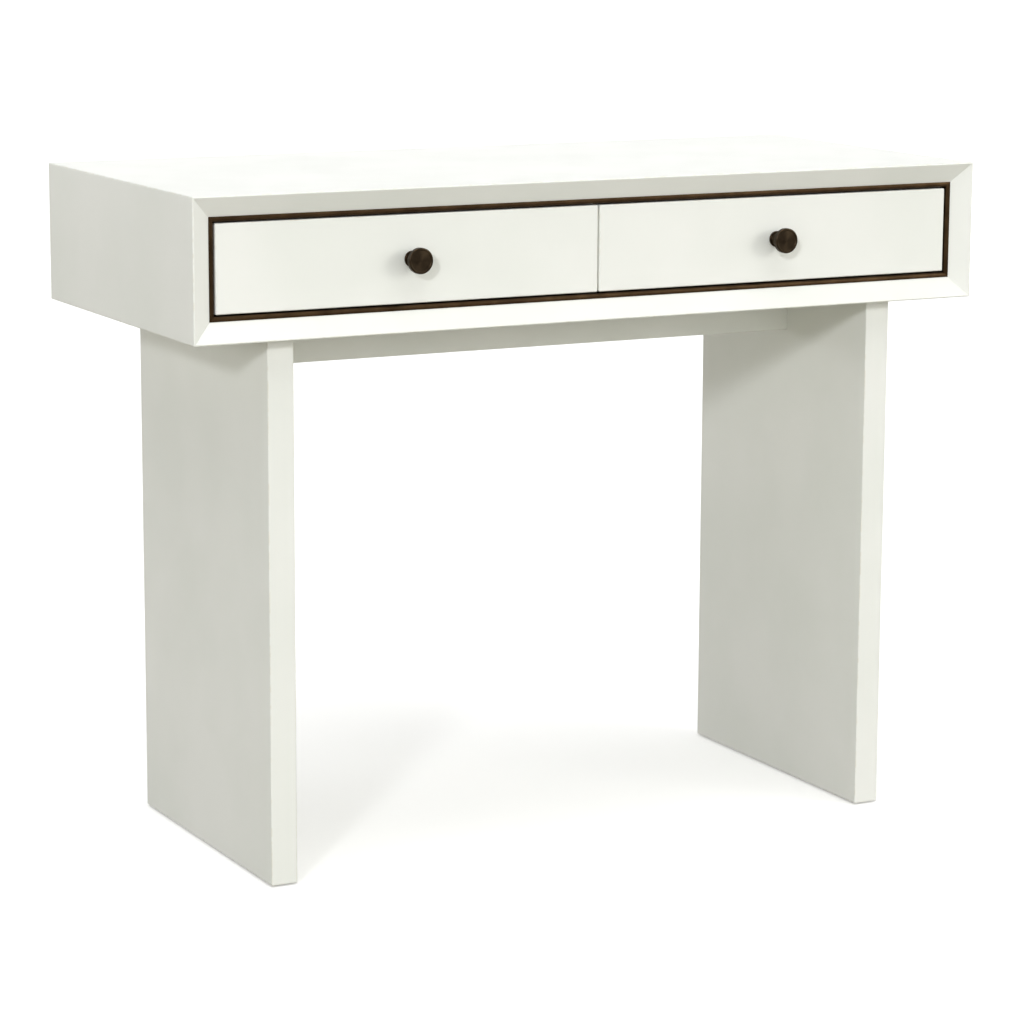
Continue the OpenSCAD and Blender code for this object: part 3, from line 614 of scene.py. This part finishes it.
case_section = rounded([
    (0, nose_y),
    (0, case_high.y),
    (board_t - rabbet_w, case_high.y),
    (board_t - rabbet_w, back_low.y),
    (board_t, back_low.y),
    (board_t, case_low.y + bevel_d),
], [NOSE, REAR_EASE, INNER_EASE, 0, INNER_EASE, INNER_EASE])
case_ring = ring(case_section, half_w, half_h, middle_z, corner=NOSE)

case_nodes = ("top_panel", "bottom_panel", "left_end_panel", "right_end_panel")
for (side, direction), node in zip(SIDES.items(), case_nodes):
    board = mitred(case_ring, direction, half_w, half_h, middle_z, KERF)
    finish_piece("case_" + side, board, "case_and_base", [node], white_lacquer)
case_ring.free()

# %% [markdown]
# ## The bronze trim
#
# Four bronze strips line the opening, mitred at the corners like the case. A strip is drawn
# through a die, so its front face is very slightly crowned and its edges are soft. The inner
# front edge has a wider chamfer, which catches the light as a thin line on the lower strip. The
# same ring and saw make them.

# %% The bronze trim
CROWN = 0.25 * MM     # height of the crown on the front face
TRIM_EASE = 0.3 * MM
CHAMFER = 1.3 * MM

opening_w = half_w - board_t
opening_h = half_h - board_t
trim_w = trim_high.z - trim_low.z
front, rear = trim_low.y, trim_high.y
flat_w = trim_w - CHAMFER
crown_steps = 6
crowned = [
    (flat_w * k / crown_steps, front + CROWN * (2 * k / crown_steps - 1) ** 2)
    for k in range(crown_steps + 1)
]
outline = [*crowned, (trim_w, front + CROWN + CHAMFER), (trim_w, rear), (0, rear)]
radii = [TRIM_EASE] + [0] * (crown_steps - 1) + [TRIM_EASE, TRIM_EASE, 0, 0]
trim_section = rounded(outline, radii, steps=3)
trim_ring = ring(trim_section, opening_w, opening_h, middle_z, arris_under=0.25 * MM)

for side, direction in SIDES.items():
    strip = mitred(trim_ring, direction, opening_w, opening_h, middle_z, KERF / 2)
    bronze = bronze_across if direction[1] else bronze_upright
    finish_piece("bronze_trim_" + side, strip, "case_and_base", ["trim_" + side], bronze)
trim_ring.free()

# %% [markdown]
# ## Boards with soft arrises
#
# The legs, the rail and the drawer fronts are plain boards. What tells a lacquered board from a
# box on a screen is its arris: sanded by hand to a millimetre or two, it catches a line of light.
# A bmesh bevel rounds every edge and makes true ball corners where three meet. The new faces are
# marked, so that the lacquer knows where it wears.

# %% Boards with soft arrises


def soft_board(low, high, radius, steps=4):
    """A box between two corners with rounded arrises."""
    mesh_code = bmesh.new()
    arris = mesh_code.faces.layers.float.new("arris")
    middle = (low + high) / 2
    shape = Matrix.Translation(middle) @ Matrix.Diagonal((*(high - low), 1))
    bmesh.ops.create_cube(mesh_code, size=1.0, matrix=shape)
    made = bmesh.ops.bevel(
        mesh_code, geom=mesh_code.edges[:], offset=radius, segments=steps, profile=0.5,
        affect="EDGES", clamp_overlap=True)
    for face in made["faces"]:
        face[arris] = 1.0
    return mesh_code


LEG_EASE = 1.4 * MM
FRONT_EASE = 1.6 * MM

for side in ("left", "right"):
    leg = soft_board(*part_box(side + "_leg"), LEG_EASE)
    finish_piece("leg_" + side, leg, "case_and_base", [side + "_leg"], white_lacquer)
    front = soft_board(*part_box(side + "_drawer_front"), FRONT_EASE)
    finish_piece("drawer_front_" + side, front, side + "_drawer", [side + "_drawer_front"],
                 white_lacquer)
rail_board = soft_board(*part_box("stretcher_rail"), LEG_EASE / 2)
finish_piece("rail_between_legs", rail_board, "case_and_base", ["stretcher_rail"],
             white_lacquer)

# %% [markdown]
# ## The knobs
#
# A knob is turned from bronze bar: a round foot, a waisted neck and a slightly dished disc. The
# outline is drawn once, out from the lathe's axis, and spun round it. The lathe leaves rings on the
# disc, which are real geometry here, a few hundredths of a millimetre deep. They are as narrow as
# the rounded edges but face the front, so they are told apart by that and don't get the copper
# spots of the edges, which are partly wear and partly a painted highlight. The piece's origin sits
# on the axis at the drawer front, because the finish measures its rings from there.

# %% The knobs
KNOB_TURNS = 96
EDGE = 0.9 * MM       # rounding of the disc's rim
FOOT_T = 2.6 * MM     # thickness of the foot
DISC_T = 6.5 * MM     # thickness of the disc
FLARE = 2.2 * MM      # how much wider the neck is at its ends
DISH = 0.5 * MM       # depth of the dished face
TOOL_MARK = 0.03 * MM
FOOT_R = 9.4 * MM     # radius of the foot
NECK_R = 5.6 * MM     # radius of the neck at its waist
FACING = 0.97         # a narrow ring that faces the front more than this is flat, not an edge


def knob_outline(radius, length, foot_radius, neck_radius):
    """Pairs of (distance from the axis, distance out from the drawer front)."""
    foot = rounded(
        [(0, 0), (foot_radius, 0), (foot_radius, FOOT_T), (0, FOOT_T)],
        [0, EDGE / 3, EDGE, 0])[:-1]
    start, stop = FOOT_T, length - DISC_T
    steps = 18
    neck = []
    for k in range(steps + 1):
        share = k / steps
        neck.append((neck_radius + FLARE * (2 * share - 1) ** 2, start + share * (stop - start)))
    disc = rounded(
        [(neck_radius, stop), (radius, stop), (radius, length), (radius - 2.4 * EDGE, length)],
        [0, EDGE, EDGE, 0.5 * EDGE])[1:]
    face = []
    reach = radius - 3 * EDGE
    rings = int(reach / RING)
    for k in range(2 * rings, 0, -1):
        mark = TOOL_MARK if k % 2 else 0.0
        face.append((reach * k / (2 * rings), length - DISH - mark))
    return [*foot, *neck, *disc, *face, (0, length - DISH)]


def turned(outline, turns):
    """The outline spun round the axis, which points towards the front."""
    loops = []
    for radius, out in outline:
        angles = [2 * math.pi * k / turns for k in range(turns)]
        loops.append([(radius * math.cos(a), -out, radius * math.sin(a)) for a in angles])
    mesh_code = lofted(loops, closed=False, arris_under=0.35 * MM)
    mesh_code.normal_update()
    arris = mesh_code.faces.layers.float["arris"]
    for face in mesh_code.faces:
        if abs(face.normal.y) > FACING:
            face[arris] = 0.0
    return mesh_code


for side in ("left", "right"):
    low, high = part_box(side + "_knob")
    axis_at = Vector(((low.x + high.x) / 2, high.y, (low.z + high.z) / 2))
    outline = knob_outline((high.x - low.x) / 2, high.y - low.y, FOOT_R, NECK_R)
    knob = turned(outline, KNOB_TURNS)
    finish_piece("bronze_knob_" + side, knob, side + "_drawer", [side + "_knob"],
                 bronze_turned, at=axis_at)

# %% [markdown]
# ## Pieces kept from the engineering model
#
# The drawer boxes with their dovetails, the slides, the screws and the rest already have their
# true shape. They only need softer edges and a finish. Their meshes come in with every face cut
# loose and split into triangles, so three modifiers do the work: weld joins the faces, decimate
# melts the triangles of one flat face together, and a narrow bevel eases the edges.

# %% Pieces kept from the engineering model
alone = {
    "rail_dowels": (beech, 0.5),
    "back_panel_screws": (zinc_steel, 0.1),
    "leg_bolts": (zinc_steel, 0.1),
    "leg_bolt_washers": (zinc_steel, 0.1),
    "leg_bolt_inserts": (zinc_steel, 0.1),
    "rail_screws": (zinc_steel, 0.1),
    "case_slide_screws": (zinc_steel, 0.1),
    "mitre_splines": (plywood_upright, 0.2),
    "floor_glides": (nylon, 0.3),
    "centre_divider": (white_lacquer, 0.5),
    "back_panel": (white_lacquer, 0.5),
}
by_side = {
    "slide_spacer": (plywood_upright, 0.2),
    "slide_outer_rails": (zinc_steel, 0.2),
    "slide_middle_rails": (zinc_steel, 0.2),
    "slide_inner_rails": (zinc_steel, 0.2),
    "drawer_slide_screws": (zinc_steel, 0.1),
    "box_screws": (zinc_steel, 0.1),
    "knob_screw": (zinc_steel, 0.1),
    "box_front": (maple_across, 0.4),
    "box_back": (maple_across, 0.4),
    "box_outer_side": (maple_deep, 0.4),
    "box_inner_side": (maple_deep, 0.4),
    "box_bottom": (plywood_flat, 0.2),
    "slide_outer_cages": (acetal, 0.1),
    "slide_inner_cages": (acetal, 0.1),
    "slide_outer_balls": (bearing_steel, 0.0),
    "slide_inner_balls": (bearing_steel, 0.0),
}


def dress(name, finish, ease):
    """Gives a kept node its finish and eases its edges by that many millimetres."""
    node = nodes[name]
    node.data.materials.clear()
    node.data.materials.append(finish)
    if ease:
        weld = node.modifiers.new("join faces", "WELD")
        weld.merge_threshold = 0.002 * MM
        melt = node.modifiers.new("melt triangles", "DECIMATE")
        melt.decimate_type = "DISSOLVE"
        melt.angle_limit = math.radians(1)
        soften = node.modifiers.new("ease edges", "BEVEL")
        soften.width = ease * MM
        soften.segments = 2
        soften.limit_method = "ANGLE"
        soften.angle_limit = math.radians(50)
        soften.harden_normals = True


for name, (finish, ease) in alone.items():
    dress(name, finish, ease)
for side in ("left", "right"):
    for part, (finish, ease) in by_side.items():
        dress(side + "_" + part, finish, ease)
print("dressed", len(alone) + 2 * len(by_side), "nodes")

# %% [markdown]
# ## The studio
#
# A white table on white paper needs care: if all the light were even, nothing would have a shape.
# So the floor that the eye sees is white and lit from behind, and a second, greyer sheet just
# under it, which only light can find, keeps the bounce from below low, as grey cloth on a studio
# floor does. A small lamp stands low at the front left, a softer one at the front right, a wide
# one hangs overhead, and the sky is bright near the horizon, where the big soft boxes stand.

# %% The studio
FLOOR_SIZE = 60.0     # metres each way, so that its edge is never seen
FLOOR_CLOUDS = 0.8    # clouds in a metre of paper


def studio_floor(name, height, low, high, glow):
    """A flat sheet with faint clouds from low to high, lit from behind by glow."""
    mesh_code = bmesh.new()
    bmesh.ops.create_grid(mesh_code, x_segments=24, y_segments=24, size=FLOOR_SIZE / 2)
    mesh = bpy.data.meshes.new(name)
    mesh_code.to_mesh(mesh)
    mesh_code.free()
    finish, tree = new_finish(name + " paper")
    place = add(tree, "TexCoord").outputs["Object"]
    cloud = add(tree, "TexNoise", {"Vector": place, "Scale": FLOOR_CLOUDS, "Detail": 3.0})
    tone = add(tree, "ValToRGB", {"Fac": cloud.outputs["Fac"]}, [(0.3, low), (0.7, high)])
    paper = add(tree, "BsdfPrincipled", {
        "Base Color": tone.outputs["Color"], "Roughness": 0.9, "Specular IOR Level": 0.2,
        "Emission Color": linear("#FFFFFF"), "Emission Strength": glow,
    })
    add(tree, "OutputMaterial", {"Surface": paper.outputs["BSDF"]})
    mesh.materials.append(finish)
    sheet = bpy.data.objects.new(name, mesh)
    sheet.location.z = height
    bpy.context.scene.collection.objects.link(sheet)
    sheet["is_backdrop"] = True
    return sheet


seen = studio_floor("white_floor", 0.0, "#FBFBF9", "#FDFDFB", 0.30)
seen.visible_diffuse = False
seen.visible_glossy = False
seen.visible_shadow = False
bounce = studio_floor("bounce_floor", -2 * MM, "#8A8677", "#8C8879", 0.0)
bounce.visible_camera = False


def lamp(name, azimuth, elevation, strength, width, colour):
    """A far lamp, azimuth degrees to the right of the front and elevation degrees up."""
    light = bpy.data.lights.new(name, "SUN")
    light.energy = math.pi * strength
    light.angle = math.radians(width)
    light.color = linear(colour)[:3]
    stand = bpy.data.objects.new(name, light)
    turn = math.radians(azimuth)
    lift = math.radians(elevation)
    towards = Vector((math.sin(turn) * math.cos(lift), -math.cos(turn) * math.cos(lift), math.sin(lift)))
    stand.rotation_mode = "QUATERNION"
    stand.rotation_quaternion = towards.to_track_quat("Z", "Y")
    bpy.context.scene.collection.objects.link(stand)


lamp("front_left_lamp", -39.8, 18.7, 0.32, 6, "#FAFBFF")
lamp("front_right_lamp", 38.7, 15.7, 0.17, 20, "#FFFEF8")
lamp("overhead_lamp", 0, 80, 0.54, 70, "#FFFFFF")

SKY = 2.15            # brightness of the sky near the horizon
world = bpy.data.worlds.new("studio sky")
bpy.context.scene.world = world
world.use_nodes = True
sky = world.node_tree
sky.nodes.clear()
direction = add(sky, "TexCoord").outputs["Generated"]
height = add(sky, "SeparateXYZ", {"Vector": direction})
band = add(sky, "ValToRGB", {"Fac": height.outputs["Z"]}, [
    (0.0, 1.0), (0.12, 0.85), (0.35, 0.11), (1.0, 0.11),
])
glow = add(sky, "Background", {"Color": band.outputs["Color"], "Strength": SKY})
add(sky, "OutputWorld", {"Surface": glow.outputs["Background"]})
bpy.context.scene.view_settings.view_transform = "Standard"

# %% [markdown]
# ## The camera
#
# The camera stands to the left of the table, a little above its top, far away with a long lens,
# as for a catalogue. Its place is measured from the front rim of the case, and its direction is
# given as a turn to the right, a tilt down and a slight roll.

# %% The camera
CAMERA_AT = (-1918.3, -3488.3, 1170.5)   # millimetres from the middle of the front rim, on the floor
TURN, TILT, ROLL = 27.296, 10.858, 0.264  # degrees
LENS = 122.28                             # millimetres, on a sensor 36 wide

eye = bpy.data.cameras.new("catalogue_camera")
eye.lens = LENS
eye.sensor_width = 36
eye.clip_start = 0.1
eye.clip_end = 200
camera = bpy.data.objects.new("catalogue_camera", eye)
camera.matrix_world = (
    Matrix.Translation(Vector(CAMERA_AT) * MM + Vector((0, case_low.y, 0)))
    @ Matrix.Rotation(-math.radians(TURN), 4, "Z")
    @ Matrix.Rotation(math.pi / 2 - math.radians(TILT), 4, "X")
    @ Matrix.Rotation(math.radians(ROLL), 4, "Z")
)
bpy.context.scene.collection.objects.link(camera)
bpy.context.scene.camera = camera
print("camera at", [round(value, 3) for value in camera.location])

seen_low, seen_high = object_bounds()
growth = (*(cad_low - seen_low), *(seen_high - cad_high))
print("grown by", [round(1000 * value, 3) for value in growth], "mm")
